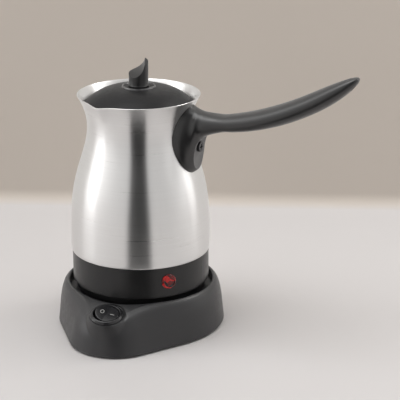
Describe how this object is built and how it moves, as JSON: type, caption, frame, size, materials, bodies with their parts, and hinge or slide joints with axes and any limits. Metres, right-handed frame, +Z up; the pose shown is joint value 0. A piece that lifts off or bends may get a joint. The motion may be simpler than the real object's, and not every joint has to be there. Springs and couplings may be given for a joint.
{
  "type": "electric turkish coffee maker",
  "caption": "Electric Turkish coffee maker: flared steel pot with a curved side handle, domed lid and black heating skirt, on a low powered base with a round rocker switch.",
  "frame": {"origin": "on the pot's axis at the table, under the middle of the base's ring foot", "axes": "+Z up along the pot's axis, -Y towards the switch lobe, +X roughly along the pot's handle"},
  "size_m": [0.2244, 0.1419, 0.1998],
  "materials": {
    "base_plastic": "fine satin grain",
    "dark_plastic": "matt",
    "rubber": "matt",
    "pale_plastic": "satin",
    "brass": "satin",
    "copper": "satin",
    "wire": "satin insulation",
    "gloss_black": "gloss",
    "white_mark": "printed",
    "brushed_steel": "finely brushed round the pot",
    "band_plastic": "satin",
    "seal": "matt",
    "aluminium": "turned",
    "element_sheath": "oxidised",
    "bakelite": "satin",
    "ceramic_white": "glazed",
    "zinc_steel": "zinc plated",
    "red_lens": "translucent, moulded facets",
    "neon_glass": "clear",
    "handle_plastic": "satin gloss",
    "lid_plastic": "satin"
  },
  "bodies": {
    "base": {"base_shell": "base_plastic", "base_cover": "dark_plastic", "base_feet": "rubber", "base_screws": "zinc_steel", "inlet_bushing": "dark_plastic", "terminal_block": "pale_plastic", "conn_post": "dark_plastic", "conn_ring": "brass", "conn_pin": "brass", "conn_screws": "zinc_steel", "base_leads": "wire", "switch_housing": "gloss_black", "switch_blades": "brass"},
    "rocker": {"switch_rocker": "gloss_black", "rocker_marks": "white_mark", "rocker_plunger": "pale_plastic"},
    "contact_arm": {"switch_arm": "copper"},
    "lid": {"lid_dome": "lid_plastic", "knob": "handle_plastic", "knob_screw": "zinc_steel"},
    "pot": {"pot_shell": "brushed_steel", "pot_band": "band_plastic", "band_seal": "seal", "heater_plate": "aluminium", "heating_element": "element_sheath", "element_pins": "brass", "thermostat": "bakelite", "thermal_fuse": "ceramic_white", "fuse_clip": "zinc_steel", "pot_cover": "dark_plastic", "pot_screws": "zinc_steel", "socket_housing": "dark_plastic", "socket_ring": "brass", "socket_pin": "brass", "pot_leads": "wire", "pilot_lens": "red_lens", "pilot_holder": "dark_plastic", "neon_lamp": "neon_glass", "handle": "handle_plastic", "handle_bracket": "zinc_steel", "handle_screw": "zinc_steel"}
  },
  "joints": [
    {"name": "pot_lift", "type": "slide", "parent": "base", "child": "pot", "axis": [0, 0, 1], "range_m": [0, 0.12]},
    {"name": "lid_lift", "type": "slide", "parent": "pot", "child": "lid", "axis": [0, 0, 1], "range_m": [0, 0.06]},
    {"name": "rocker", "type": "hinge", "parent": "base", "child": "rocker", "pos_m": [0.0012, -0.06476, 0.02467], "axis": [-0.0196, -0.9744, -0.2241], "range_deg": [0, 14]},
    {"name": "contact_arm", "type": "hinge", "parent": "base", "child": "contact_arm", "pos_m": [0.00074, -0.06355, 0.01943], "axis": [-0.0196, -0.9744, -0.2241], "range_deg": [-12, 0]}
  ],
  "couplings": [
    {"joint": "contact_arm", "follows": "rocker", "ratio": -0.857}
  ]
}
